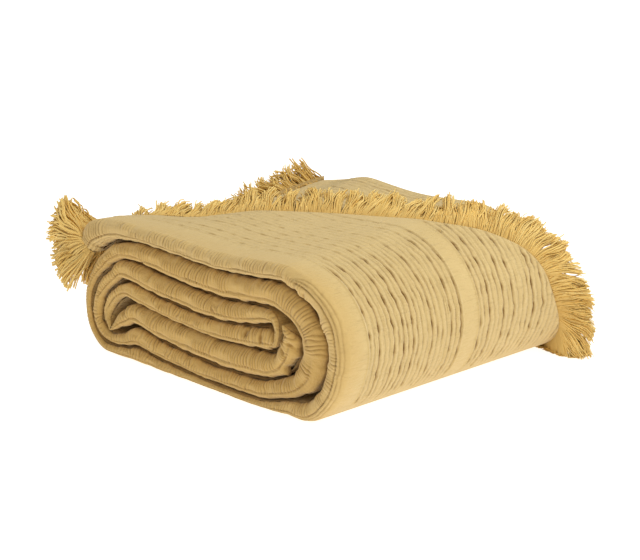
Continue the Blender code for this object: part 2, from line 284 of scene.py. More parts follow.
# Short stitches draw the cloth in along the deep grooves, and here and there along the others
pinches = {
    "every": 0.0235,
    "drift": (0.16, 0.05, 2.3),
    "length": 0.0046,
    "width": 0.105,
    "depth": 0.0026,
    "smallest": 0.55,
    "sizeRange": 0.75,
    "deepExtra": 0.25,
    "deepMost": 1.1,
    "fineGrooves": 0.55,
    "fineFromSize": 0.92,
    "fineShare": 0.36,
    "bead": 0.80,
    "beadNoise": (0.55, 0.0021, 5.3),
    "lip": 0.0006,
    "lipPlace": 0.34,
    "lipWidth": 0.14,
    "hollowShade": 1.15,
}
mostHollowShade = 1.2


def ribRelief(along, depth, strength=1.0):
    # the height of the ribs, the painted shade in their grooves and pinches, and where the cloth is ribbed and not
    # plain
    fade = ribs["edgeFade"]
    padded = easeStep((depth - ribs["start"] + fade / 2) / fade)
    plain = easeStep((depth - ribs["plainFrom"]) / fade) * easeStep((ribs["plainTo"] - depth) / fade)
    padded = padded * (1 - plain)
    spot = (depth - ribs["start"]) / ribs["pitch"] + noiseOver(ribs["waver"], along, depth, 3)
    spot = spot + noiseOver(ribs["zigzag"], along, depth, 7)
    groove = np.floor(spot + 0.5)
    fromGroove = np.abs(spot - groove)
    crest = np.sin(np.pi * np.clip(fromGroove, 0, 0.5)) ** ribs["roundness"]
    padding = ribs["padding"] + noiseEach(ribs["paddingNoise"], along, groove, 5)

    every = ribs["deepEvery"]
    bunch = np.floor(groove / every)
    deep = (groove - every * bunch == np.floor(every * cellNoise(bunch, 8))) | np.isin(groove, ribs["borders"])
    fine = cellNoise(groove, 21) < pinches["fineGrooves"]

    beat = along / pinches["every"] + cellNoise(groove, 9) + noiseEach(pinches["drift"], along, groove, 4)
    stitch = np.floor(beat + 0.5)
    fromStitch = (beat - stitch) * pinches["every"]
    size = pinches["smallest"] + pinches["sizeRange"] * cellNoise(groove * 3.1 + stitch, 10)
    drawn = bell(fromStitch, pinches["length"] * size)
    onDeep = np.minimum(size + pinches["deepExtra"], pinches["deepMost"])
    onFine = pinches["fineShare"] * (size > pinches["fineFromSize"])
    share = np.where(deep, onDeep, np.where(fine, onFine, 0.0))
    beads = pinches["bead"] + noiseEach(pinches["beadNoise"], along, groove, 14)
    pinch = share * drawn * beads * bell(fromGroove, pinches["width"])

    rise = ribs["height"] * padding * (crest - ribs["level"]) * np.where(deep, ribs["deepHeight"], ribs["fineHeight"])
    rise = rise - pinches["depth"] * pinch
    rise += pinches["lip"] * share * drawn * bell(fromGroove - pinches["lipPlace"], pinches["lipWidth"])
    rise += noiseOver(ribs["crinkle"], along, depth, 6)
    inset = ribs["ridgeInset"]
    ridge = 0 * depth
    for edge in (ribs["plainFrom"] + inset, ribs["plainTo"] - inset, ribs["start"] - inset):
        ridge += ribs["ridge"] * bell(depth - edge, ribs["ridgeWidth"])
    # the groove lines and the pinches are darkened with painted shade
    line = np.clip(1.0 - crest, 0, 1) ** ribs["lineThinness"]
    line = line * (ribs["line"] + ribs["deepLine"] * deep + noiseEach(ribs["lineNoise"], along, groove, 12))
    hollowShade = np.clip(line + pinches["hollowShade"] * pinch, 0, mostHollowShade)
    return (rise * padded + ridge) * strength, hollowShade * padded * strength ** 2, padded * strength


def gridFaces(rows, columns, start=0):
    i, j = np.meshgrid(np.arange(rows - 1), np.arange(columns - 1), indexing="ij")
    a = (start + i * columns + j).ravel()
    return np.stack([a, a + 1, a + columns + 1, a + columns], 1)


def meshPiece(name, points, faces, material, flat=None, masks=None):
    mesh = bpy.data.meshes.new(name)
    mesh.vertices.add(len(points))
    mesh.vertices.foreach_set("co", points.astype(np.float32).ravel())
    sides = faces.shape[1]
    mesh.loops.add(len(faces) * sides)
    mesh.loops.foreach_set("vertex_index", faces.astype(np.int32).ravel())
    mesh.polygons.add(len(faces))
    mesh.polygons.foreach_set("loop_start", np.arange(0, len(faces) * sides, sides, dtype=np.int32))
    mesh.update(calc_edges=True)
    mesh.validate()
    if flat is not None:
        layer = mesh.uv_layers.new(name="flatCloth")
        loopVerts = np.empty(len(mesh.loops), np.int32)
        mesh.loops.foreach_get("vertex_index", loopVerts)
        layer.data.foreach_set("uv", flat[loopVerts].astype(np.float32).ravel())
    for maskName, values in (masks or {}).items():
        mask = mesh.attributes.new(maskName, "FLOAT", "POINT")
        mask.data.foreach_set("value", values.astype(np.float32))
    mesh.shade_smooth()
    mesh.materials.append(material)
    piece = bpy.data.objects.new(name, mesh)
    bpy.context.scene.collection.objects.link(piece)
    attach(piece, "root")
    return piece


class ClothMaker:
    # gathers grids of points, with their place on the flat cloth, their painted shade in hollows and on the shaded
    # face, and how ribbed they are
    def __init__(self):
        self.points, self.faces, self.flat, self.masks, self.count = [], [], [], {}, 0

    def addGrid(self, points, flatU, flatV, hollowShade, shaded=0.0, ribbed=0.0):
        rows, columns = points.shape[:2]
        self.points.append(points.reshape(-1, 3))
        self.faces.append(gridFaces(rows, columns, self.count))
        self.flat.append(np.stack(np.broadcast_arrays(flatU, flatV), -1).reshape(-1, 2))
        for maskName, values in (("hollowShade", hollowShade), ("shaded", shaded), ("ribbed", ribbed)):
            self.masks.setdefault(maskName, []).append(np.broadcast_to(values, (rows, columns)).ravel())
        self.count += rows * columns

    def finished(self, name, material):
        masks = {maskName: np.concatenate(values) for maskName, values in self.masks.items()}
        return meshPiece(name, np.concatenate(self.points), np.concatenate(self.faces), material,
                         np.concatenate(self.flat), masks)


# Nodes that the materials are made of
def newMaterial(name):
    made = bpy.data.materials.new(name)
    made.use_nodes = True
    return made, made.node_tree, made.node_tree.nodes["Principled BSDF"]


def setSockets(node, values):
    for label, value in values.items():
        node.inputs[label].default_value = value


def mathNode(tree, operation, a, b, clamp=False):
    node = tree.nodes.new("ShaderNodeMath")
    node.operation = operation
    node.use_clamp = clamp
    for socket, value in zip(node.inputs, (a, b)):
        if isinstance(value, (int, float)):
            socket.default_value = value
        else:
            tree.links.new(value, socket)
    return node.outputs[0]


def mixColour(tree, factor, a, b):
    node = tree.nodes.new("ShaderNodeMix")
    node.data_type = "RGBA"
    for socket, value in ((node.inputs[0], factor), (node.inputs[6], a), (node.inputs[7], b)):
        if isinstance(value, tuple):
            socket.default_value = value
        else:
            tree.links.new(value, socket)
    return node.outputs[2]


def noiseNode(tree, vector, scale, detail=2.0):
    node = tree.nodes.new("ShaderNodeTexNoise")
    node.inputs["Detail"].default_value = detail
    tree.links.new(vector, node.inputs["Vector"])
    if isinstance(scale, float):
        node.inputs["Scale"].default_value = scale
    else:
        tree.links.new(scale, node.inputs["Scale"])
    return node


def stretched(tree, vector, along, across):
    node = tree.nodes.new("ShaderNodeVectorMath")
    node.operation = "MULTIPLY"
    node.inputs[1].default_value = (along, across, 1.0)
    tree.links.new(vector, node.inputs[0])
    return node.outputs[0]


def maskNode(tree, name):
    node = tree.nodes.new("ShaderNodeAttribute")
    node.attribute_name = name
    return node.outputs["Fac"]


# The crimp of woven cotton: soft waves and grain, fine threads across the ribs, and cords along them
weave = {
    "crimpAcross": 0.22,
    "crimpRoughness": 0.55,
    "grainScale": 1400.0,
    "threadAcross": 0.09,
    "threadScale": 520.0,
    "threadFrom": 0.56,
    "threadSharpness": 6.0,
    "threadSunk": 0.10,
    "cordAlong": 0.07,
    "cordScale": 480.0,
    "cordHeight": 0.9,
    "patchScale": 14.0,
}


def crimpGroup():
    group = bpy.data.node_groups.new("cottonCrimp", "ShaderNodeTree")
    for label, kind, value in (
        ("Flat cloth", "NodeSocketVector", (0, 0, 0)), ("Crimp pitch", "NodeSocketFloat", 0.0028),
        ("Grain", "NodeSocketFloat", 0.35), ("Ribbed", "NodeSocketFloat", 0.0),
    ):
        group.interface.new_socket(name=label, in_out="INPUT", socket_type=kind).default_value = value
    for label in ("Height", "Tint", "Lines"):
        group.interface.new_socket(name=label, in_out="OUTPUT", socket_type="NodeSocketFloat")
    given, out = group.nodes.new("NodeGroupInput").outputs, group.nodes.new("NodeGroupOutput").inputs
    flat = given["Flat cloth"]

    perMetre = mathNode(group, "DIVIDE", 1.0, given["Crimp pitch"])
    crimp = noiseNode(group, stretched(group, flat, 1.0, weave["crimpAcross"]), perMetre)
    crimp.inputs["Roughness"].default_value = weave["crimpRoughness"]
    grain = mathNode(group, "MULTIPLY", noiseNode(group, flat, weave["grainScale"]).outputs[0], given["Grain"])
    raised = mathNode(group, "ADD", crimp.outputs[0], grain)

    threads = noiseNode(group, stretched(group, flat, 1.0, weave["threadAcross"]), weave["threadScale"], 1.0)
    lines = mathNode(group, "SUBTRACT", threads.outputs[0], weave["threadFrom"])
    lines = mathNode(group, "MULTIPLY", lines, weave["threadSharpness"], clamp=True)
    group.links.new(lines, out["Lines"])

    cords = noiseNode(group, stretched(group, flat, weave["cordAlong"], 1.0), weave["cordScale"])
    corded = mathNode(group, "MULTIPLY", cords.outputs[0], given["Ribbed"])
    raised = mathNode(group, "ADD", raised, mathNode(group, "MULTIPLY", corded, weave["cordHeight"]))
    sunk = mathNode(group, "MULTIPLY", lines, weave["threadSunk"])
    group.links.new(mathNode(group, "SUBTRACT", raised, sunk), out["Height"])
    group.links.new(noiseNode(group, flat, weave["patchScale"], 3.0).outputs[0], out["Tint"])
    return group


cottonCrimp = crimpGroup()

clothLook = {
    "light": (0.690, 0.510, 0.232, 1.0),
    "deep": (0.620, 0.440, 0.182, 1.0),
    "shaded": (0.610, 0.395, 0.128, 1.0),
    # painted shade: the dark colour laid into hollows, grooves, pinches and gaps, and how much of it is mixed in
    "hollowShade": (0.210, 0.090, 0.014, 1.0),
    "hollowShadeShare": 0.84,
    "hollowShadeUneven": 1.1,
    "hollowShadeLeast": 0.05,
    "lineShare": 0.11,
    "crimp": {"Crimp pitch": 0.0028, "Grain": 0.35},
    "bump": {"Strength": 1.0, "Distance": 0.0018},
    "surface": {
        "Roughness": 0.92, "Specular IOR Level": 0.06,
        "Sheen Weight": 0.34, "Sheen Roughness": 0.6, "Sheen Tint": (1.0, 0.90, 0.70, 1.0),
    },
}


def clothMaterial():
    made, tree, shader = newMaterial("ribbedCotton")
    flat = tree.nodes.new("ShaderNodeUVMap")
    flat.uv_map = "flatCloth"
    crimp = tree.nodes.new("ShaderNodeGroup")
    crimp.node_tree = cottonCrimp
    setSockets(crimp, clothLook["crimp"])
    tree.links.new(flat.outputs[0], crimp.inputs["Flat cloth"])
    tree.links.new(maskNode(tree, "ribbed"), crimp.inputs["Ribbed"])

    cloth = mixColour(tree, crimp.outputs["Tint"], clothLook["light"], clothLook["deep"])
    cloth = mixColour(tree, maskNode(tree, "shaded"), cloth, clothLook["shaded"])
    # painted shade: the fine sunk thread lines, and then the hollows, are darkened towards the dark shade colour
    threads = mathNode(tree, "MULTIPLY", crimp.outputs["Lines"], clothLook["lineShare"])
    cloth = mixColour(tree, threads, cloth, clothLook["hollowShade"])
    uneven = mathNode(tree, "MULTIPLY", crimp.outputs["Height"], clothLook["hollowShadeUneven"])
    uneven = mathNode(tree, "ADD", uneven, clothLook["hollowShadeLeast"])
    deepened = mathNode(tree, "MULTIPLY", maskNode(tree, "hollowShade"), uneven)
    share = mathNode(tree, "MULTIPLY", deepened, clothLook["hollowShadeShare"], clamp=True)
    tree.links.new(mixColour(tree, share, cloth, clothLook["hollowShade"]), shader.inputs["Base Color"])

    bump = tree.nodes.new("ShaderNodeBump")
    setSockets(bump, clothLook["bump"])
    tree.links.new(crimp.outputs["Height"], bump.inputs["Height"])
    tree.links.new(bump.outputs[0], shader.inputs["Normal"])
    setSockets(shader, clothLook["surface"])
    return made


yarnLook = {
    "root": (0.650, 0.410, 0.125, 1.0),
    "light": (0.930, 0.710, 0.295, 1.0),
    "gold": (0.850, 0.570, 0.170, 1.0),
    "rootFade": 0.45,
    "surface": {
        "Roughness": 0.9, "Specular IOR Level": 0.06,
        "Sheen Weight": 0.08, "Sheen Tint": (0.930, 0.710, 0.295, 1.0),
    },
}


def yarnMaterial():
    made, tree, shader = newMaterial("fringeYarn")
    strand = mixColour(tree, maskNode(tree, "strandTint"), yarnLook["gold"], yarnLook["light"])
    rooted = mathNode(tree, "POWER", maskNode(tree, "towardsTip"), yarnLook["rootFade"], clamp=True)
    tree.links.new(mixColour(tree, rooted, yarnLook["root"], strand), shader.inputs["Base Color"])
    setSockets(shader, yarnLook["surface"])
    return made


clothFinish = clothMaterial()
yarnFinish = yarnMaterial()
print("materials made")

# The near face of every turn is a rounded fold, with crimps over it and thin lines low on it, where the layers part.
# Places across the face run from 1 on its outward side to -1 on its inward side.
nearFold = {
    "step": 0.00050,
    "columns": 31,
    "outerColumns": 49,
    "fullHalf": 0.008,
    "crimpPitch": 0.0041,
    "crimpHeight": 0.0017,
    "crimpRoundness": 0.65,
    "crimpBend": 0.75,
    "crimpLean": 0.3,
    "crimpDrift": (0.55, 0.006, 1.3),
    "clustered": 0.72,
    "clusterNoise": (0.9, 0.014, 1.4),
    "unevenNoise": (0.0007, 0.011, 2.5),
    "lipShare": 0.30,
    "lipWander": (0.08, 0.035, 1.0),
    "lipTremble": (0.03, 0.008, 1.0),
    "lipTurns": (6.3, 2.2),
    "lipDepth": 0.0024,
    "lipSmoothness": 0.85,
    "lipFade": 0.1,
    "bulge": 0.0012,
    "bulgePlace": 0.26,
    "bulgeWidth": 0.22,
    "outerLineWidth": 0.65,
    "edgeWave": 0.095,
    "edgeWaveLength": 0.0062,
    "edgeDrawnIn": 0.6,
    "roughEnd": 87.0,
    "roughEndWave": 3.2,
    "outwardGapFrom": 32.5,
    "inwardGapFrom": 0.6,
    "gapWidth": 0.09,
    "grooveWidth": 0.12,
    "creaseWidth": 0.42,
    "creaseSlant": 0.002,
    "flatScale": 0.4,
    "flatAcross": 0.01,
}

# lines where the layers part: place past the lip, width, and how deep on the outer turn and on the others
lipLines = (
    (0.00, 0.075, 1.00, 1.00),
    (0.30, 0.055, 0.70, 0.25),
    (0.54, 0.048, 0.55, 0.00),
)

# how much painted shade each hollow of the face gets
faceHollowShades = {"lip": 0.70, "groove": 1.05, "grooveLeast": 0.35, "grooveRange": 0.75, "crease": 110, "gap": 0.85}

# the second right bend lies deeper in shade: how much, its first and last row, and the rows that it fades over
bendShade = (0.16, 37.5, 47.5, 2.5)

# the near face lies in shade from the first row, and more so from each of these rows: share, row, rows to fade in
leastShade = 0.35
shadeSteps = ((0.25, 6, 3), (0.4, 15, 5))

# single creases in the near face: row along the strip, place across it, reach along, depth
creases = (
    (7.9, -0.80, 0.0032, 0.0050),
    (8.5, -0.55, 0.0016, 0.0028),
    (70.25, -0.60, 0.0030, 0.0090),
    (69.6, -0.10, 0.0018, 0.0046),
    (68.4, 0.30, 0.0014, 0.0040),
    (66.9, -0.20, 0.0014, 0.0040),
    (65.6, 0.50, 0.0016, 0.0034),
    (34.2, -0.75, 0.0024, 0.0036),
    (61.5, 0.70, 0.0018, 0.0026),
    (81.2, 0.70, 0.0020, 0.0030),
    (88.1, 0.30, 0.0016, 0.0040),
    (88.9, -0.30, 0.0016, 0.0036),
    (89.7, 0.35, 0.0014, 0.0040),
    (90.3, -0.10, 0.0014, 0.0030),
)


def foldShade(k):
    return leastShade + sum(share * easeStep((k - row) / fade) for share, row, fade in shadeSteps)


def creaseDepth(along, across):
    total = np.zeros_like(across)
    for row, centre, reach, deep in creases:
        fromCrease = along - lengthAt(row) - nearFold["creaseSlant"] * (across - centre)
        total += deep * bell(fromCrease, reach) * bell(across - centre, nearFold["creaseWidth"])
    return total


def nearFoldPoints(k, angle):
    # angle runs from 90 degrees on the outward side round the tip to -90 on the inward side
    own = nearFold
    k, angle = np.broadcast_arrays(k[:, None], angle[None, :])
    _, half, heading, _ = stripAt(k)
    along = lengthAt(k)
    across, tip = np.sin(angle), np.cos(angle)
    outer = k < roll["underside"]
    fade = np.clip(half / own["fullHalf"], 0, 1) * tip ** 0.5

    # the lip is on the lower side of each turn
    lower = -np.clip(heading[..., 0] * 1.8 + 0.1, -1, 1)
    turnRow, turnRows = own["lipTurns"]
    lipSide = np.where(outer, 2 * easeStep((k - turnRow) / turnRows) - 1, lower)
    wander = noiseEach(own["lipWander"], along, 0.0, 31) + noiseEach(own["lipTremble"], along, 0.0, 32)
    fromLip = across - lipSide * (own["lipShare"] + wander)
    onSide = np.abs(lipSide) * fade
    lineWidth = np.where(outer, own["outerLineWidth"], 1.0)
    lip = 0.0
    for past, width, outerDeep, innerDeep in lipLines:
        lip = lip + np.where(outer, outerDeep, innerDeep) * bell(fromLip - past * lipSide, width * lineWidth) * onSide
    bulge = bell(fromLip - own["bulgePlace"] * lipSide, own["bulgeWidth"]) * onSide

    # crimps run from side to side, in clusters, and are flatter on the lip
    beat = along / own["crimpPitch"] + own["crimpBend"] * tip
    beat = beat - own["crimpLean"] * across * np.sign(lipSide)
    beat = beat + noiseEach(own["crimpDrift"], along, across, 33)
    crimp = np.abs(np.sin(np.pi * beat)) ** own["crimpRoundness"]
    cluster = easeStep(own["clustered"] + noiseEach(own["clusterNoise"], along, across, 35))
    onLip = easeStep((np.abs(across) - own["lipShare"]) / own["lipFade"])
    onLip = onLip * (np.sign(across) == np.sign(lipSide))
    crimped = cluster * (1 - own["lipSmoothness"] * onLip) * fade
    crease = creaseDepth(along, across) * fade
    high = own["crimpHeight"] * crimp * crimped + own["bulge"] * bulge - own["lipDepth"] * lip
    high = high + noiseEach(own["unevenNoise"], along, across, 37) * fade - crease

    # the edges waver along the gaps between the turns
    rough = np.where(k > own["roughEnd"], own["roughEndWave"], 1.0)
    wave = rough * softNoise(along / own["edgeWaveLength"], np.sign(across) * 3, 39) - own["edgeDrawnIn"]
    inGap = np.where(across > 0, k > own["outwardGapFrom"], k > own["inwardGapFrom"])
    pushed = across * (1 + own["edgeWave"] * wave * np.abs(across) * inGap)
    depth = noseDepth(k) * (1 - tip) - high * tip

    # painted shade in the crimp grooves, the lip lines, the creases and the gaps between the turns
    tick = np.floor(beat + 0.5)
    darkness = faceHollowShades["grooveLeast"] + faceHollowShades["grooveRange"] * cellNoise(tick, 41)
    groove = bell(beat - tick, own["grooveWidth"]) * darkness * crimped
    gap = easeStep((np.abs(across) - 1 + own["gapWidth"]) / own["gapWidth"]) * inGap
    hollowShade = faceHollowShades["lip"] * lip + faceHollowShades["groove"] * groove
    hollowShade = hollowShade + faceHollowShades["crease"] * crease + faceHollowShades["gap"] * gap
    shade, firstRow, finalRow, fadeRows = bendShade
    hollowShade = hollowShade + shade * easeStep((k - firstRow) / fadeRows) * easeStep((finalRow - k) / fadeRows)
    return depth, pushed, high * across, np.clip(hollowShade, 0, mostHollowShade), along


def buildNearFold(name, stretches):
    # each stretch has its first and last row, how much longer its steps are, and its columns
    maker = ClothMaker()
    for start, stop, coarser, columns in stretches:
        k = rowsBetween(start, stop, nearFold["step"] * coarser)
        depth, across, push, hollowShade, along = nearFoldPoints(k, np.radians(np.linspace(90, -90, columns)))
        flatV = depth + nearFold["flatAcross"] * across
        maker.addGrid(place(k[:, None], depth, across, push), nearFold["flatScale"] * along, flatV,
                      hollowShade, foldShade(k[:, None]))
    return maker.finished(name, clothFinish)


# Inside the roll the turns swell and lean on each other, so that no gap runs straight through it
pressing = {
    "least": 0.0035,
    "most": 0.0090,
    "growth": 0.7,
    "thinHalf": 0.004,
    "tightFrom": 46,
    "tightTo": 62,
    "tightShare": 0.3,
    "nearDepth": 0.035,
    "nearFade": 0.045,
    "farDepth": 0.012,
    "farFade": 0.040,
}

# A coat is one side of the strip over a stretch of rows
coat = {
    "ribsAboveFloor": 0.008,
    "ribsFloorFade": 0.02,
    "nearFade": 0.004,
    "farFade": 0.002,
    "shadeDepth": 0.010,
    "shadeFade": 0.030,
    "hemShade": 0.3,
    "leafLap": 0.004,
    "topRibs": 0.55,
    "fullRibsFrom": 6.4,
    "fullRibsOver": 2.6,
    "pastLeafRibs": 0.85,
}

# the leaf's hem: how far each line of it lies past the edge, and its fall as a share of the leaf's thickness
hem = ((0.0007, 0.25), (0.0007, 0.6), (0.0003, 0.95))


def onTop(k):
    return 1 + 0 * k


def underneath(k):
    return -1 + 0 * k


def pastLeaf(k):
    return 1 - leafDrop(k) / stripAt(k)[1]


def beforeLeaf(k):
    return leafEdge(k) - coat["leafLap"]


def ribStrength(k):
    # flatter on top, where the layer lies pulled smooth, and full round the bends
    return coat["topRibs"] + (1 - coat["topRibs"]) * easeStep((k - coat["fullRibsFrom"]) / coat["fullRibsOver"])


def ribStrengthPastLeaf(k):
    return coat["pastLeafRibs"] + 0 * k


def pressedTogether(k, depth, share):
    own = pressing
    swell = own["least"] + own["growth"] * (stripAt(k)[1] - own["thinHalf"])
    swell = np.clip(swell, own["least"], own["most"])
    tight = (share > 0) & (k > own["tightFrom"]) & (k < own["tightTo"])
    inside = easeStep((depth - own["nearDepth"]) / own["nearFade"])
    inside = inside * easeStep((roll["rimDepth"] - own["farDepth"] - depth) / own["farFade"])
    return swell * np.where(tight, own["tightShare"], 1.0) * inside * np.sign(share)


def addCoat(maker, rows, columns, depths=(noseDepth, leafEdge), layerShare=onTop, ribbed=None, closing=(),
            pressed=False):
    # rows are the first, the last and the step in metres; depths are where the coat starts and ends at each row
    k = rowsBetween(*rows)
    low, high = depths[0](k)[:, None], depths[1](k)[:, None]
    depth = low + (high - low) * np.linspace(0, 1, columns)[None, :]
    along = lengthAt(k)[:, None] + 0 * depth
    share = layerShare(k)[:, None] + 0 * depth
    rise = hollowShade = padded = 0 * depth
    if ribbed:
        rise, hollowShade, padded = ribRelief(along, depth, ribbed(k)[:, None])
    middle, half, _, outward = stripAt(k)
    height = middle[:, 1] + outward[:, 1] * half
    offFloor = easeStep((height - coat["ribsAboveFloor"]) / coat["ribsFloorFade"])[:, None]
    fromEnds = easeStep((depth - low) / coat["nearFade"]) * easeStep((high - depth) / coat["farFade"])
    rise, hollowShade, padded = rise * offFloor * fromEnds, hollowShade * offFloor * fromEnds, padded * offFloor
    if pressed:
        rise = rise + pressedTogether(k[:, None] + 0 * depth, depth, share)
    for pastEdge, fall in closing:
        depth = np.concatenate([depth, high + pastEdge], 1)
        rise = np.concatenate([rise, -fall * leafDrop(k)[:, None]], 1)
        share = np.concatenate([share, share[:, -1:]], 1)
        # the hem is painted in shade, more where it falls further
        hollowShade = np.concatenate([hollowShade, 0 * high + coat["hemShade"] * fall], 1)
        padded = np.concatenate([padded, 0 * high], 1)
        along = np.concatenate([along, along[:, -1:]], 1)
    shaded = foldShade(k[:, None]) * (1 - easeStep((depth - coat["shadeDepth"]) / coat["shadeFade"]))
    maker.addGrid(place(k[:, None], depth, share, rise), along, depth, hollowShade, shaded, padded)


# where one stretch of the outer turn ends and the next begins
seams = {"side": 8.0, "under": 17.4, "left": 24.4, "inner": 33.4}
farSide = {"depths": (beforeLeaf, rimStart), "layerShare": pastLeaf}
topCoats = (
    dict(rows=(0.0, seams["side"], 0.0016), columns=250, ribbed=ribStrength, closing=hem),
    dict(rows=(0.0, seams["side"], 0.0030), columns=150, ribbed=ribStrengthPastLeaf, **farSide),
)
sideCoats = (
    dict(rows=(seams["side"], seams["under"], 0.00115), columns=440, ribbed=ribStrength, closing=hem),
)
# the underside, the left bend, the inner turns, and what lies past the leaf and on the inward side
otherCoats = (
    dict(rows=(seams["under"], seams["left"], 0.010), columns=24),
    dict(rows=(seams["left"], seams["inner"], 0.0030), columns=190, ribbed=ribStrength),
    dict(rows=(seams["inner"], lastRow, 0.014), columns=14, pressed=True),
    dict(rows=(seams["side"], seams["under"], 0.0040), columns=24, ribbed=ribStrengthPastLeaf, **farSide),
    dict(rows=(seams["under"], lastRow, 0.012), columns=4, **farSide),
    dict(rows=(0.0, lastRow, 0.009), columns=18, depths=(noseDepth, rimStart), layerShare=underneath,
         pressed=True),
)


def coatsOf(table):
    maker = ClothMaker()
    for values in table:
        addCoat(maker, **values)
    return maker


# Two rounded folds at the far rim, with the fringed edges between them. Painted shade darkens each fold towards its
# edges.
rimFold = {"step": 0.006, "columns": 9, "parting": 0.04, "hollowShade": 0.3, "hollowShadeEdge": 6}


def addRimFolds(maker):
    k = rowsBetween(0.0, lastRow, rimFold["step"])[:, None]
    parting = rimFold["parting"] + 0 * k
    angle = np.radians(np.linspace(90, -90, rimFold["columns"]))[None, :]
    for fromShare, toShare in ((pastLeaf(k), parting), (-parting, underneath(k))):
        share = (fromShare + toShare) / 2 + (fromShare - toShare) / 2 * np.sin(angle)
        depth = rimStart(k) + (rimAt(k) - rimStart(k)) * np.cos(angle)
        hollowShade = rimFold["hollowShade"] * np.abs(np.sin(angle)) ** rimFold["hollowShadeEdge"]
        maker.addGrid(place(k, depth, share), lengthAt(k) + 0 * depth, depth, hollowShade)


# The layers inside, each pair joined by a fold within the near fold. They stay clear of the ribs above them and are
# painted in shade.
innerLayers = {
    "shares": (0.72, 0.44, 0.16),
    "endRows": 0.4,
    "step": 0.014,
    "ribRoom": 0.0048,
    "leastRoom": 0.12,
    "behindRim": 0.002,
    "across": (0, 0.33, 0.66, 1),
    "foldAngles": (0.9, 0.3, -0.3, -0.9),
    "hollowShade": 0.5,
}


def addInnerLayers(maker):
    own = innerLayers
    k = rowsBetween(own["endRows"], lastRow - own["endRows"], own["step"])[:, None]
    room = np.clip(1 - (own["ribRoom"] + leafDrop(k)) / stripAt(k)[1], own["leastRoom"], 1)
    reach, far = noseDepth(k), rimStart(k) - own["behindRim"]
    for share in own["shares"]:
        back = [far + (reach - far) * t for t in own["across"]]
        fold = [reach * (1 - share * math.cos(a)) for a in own["foldAngles"]]
        depth = np.concatenate(back + fold + back[::-1], 1)
        turned = [share * math.sin(a) for a in own["foldAngles"]]
        shares = np.array([share] * len(back) + turned + [-share] * len(back))[None, :]
        shares = np.where(shares > 0, shares * room, shares)
        maker.addGrid(place(k, depth, shares), lengthAt(k) + 0 * depth, depth, own["hollowShade"])


# The outer end of the strip, rounded in a little and painted a little in shade
outerEnd = {"near": 0.004, "far": 0.003, "rows": 80, "columns": 7, "bulge": 0.004, "flatAcross": 0.01, "hollowShade": 0.25}


def addOuterEnd(maker):
    own = outerEnd
    depth = np.linspace(own["near"], roll["rimDepth"] - own["far"], own["rows"])[:, None]
    across = np.linspace(1, -1, own["columns"])[None, :]
    heading = stripAt(roll["endSkew"] * depth[:, 0] / roll["rimDepth"])[2]
    bulge = own["bulge"] * (1 - across ** 2)[..., None] * inSpace(heading)[:, None, :]
    maker.addGrid(place(0.0 * depth, depth, across) - bulge, depth, own["flatAcross"] * across + 0 * depth,
                  own["hollowShade"])


def buildBlanketCloth():
    maker = coatsOf(otherCoats)
    addRimFolds(maker)
    addInnerLayers(maker)
    addOuterEnd(maker)
    return maker.finished("blanketCloth", clothFinish)


blanket = buildBlanketCloth()
topCloth = coatsOf(topCoats).finished("blanketTop", clothFinish)
sideCloth = coatsOf(sideCoats).finished("blanketSide", clothFinish)
print("cloth built:", [len(piece.data.polygons) for piece in (blanket, topCloth, sideCloth)], "faces")
nearOuter = buildNearFold("blanketNearOuter", (
    (0.0, 18.0, 1.0, nearFold["outerColumns"]),
    (18.0, 33.0, 1.25, nearFold["columns"]),
))
nearInner = buildNearFold("blanketNearInner", (
    (33.0, 60.0, 1.2, nearFold["columns"]),
    (60.0, lastRow, 1.2, nearFold["columns"]),
))
print("near folds built:", [len(piece.data.polygons) for piece in (nearOuter, nearInner)], "faces")
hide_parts("blanket_roll")

# One strand of yarn
yarn = {
    "radius": 0.00088,
    "tipRadius": 0.00072,
    "taper": 1.5,
    "thinnest": 0.75,
    "thickest": 1.3,
    "steps": 7,
    "sides": 3,
    "floorGap": 0.0012,
    "floorHeap": 0.0012,
    "turn": 6.28,
    "phaseSpread": 0.35,
    "fewestWaves": 0.5,
    "tuftWaves": 0.7,
    "strandWaves": 0.2,
    "droopCurve": 1.8,
    "tintSpread": 1.6,
    "notAlong": (0.31, 0.17, 0.93),
}

# How strands fall into tufts: how unevenly the tufts are parted, over how many of them, and how far one is shifted
tufts = {"uneven": 0.25, "unevenOver": 3, "shift": 0.3}


def tubeFaces(count, steps, sides):
    s, r, c = np.meshgrid(np.arange(count), np.arange(steps - 1), np.arange(sides), indexing="ij")
    ring = s * steps * sides + r * sides
    a, b = ring + c, ring + (c + 1) % sides
    return np.stack([a, b, b + sides, a + sides], -1).reshape(-1, 4)


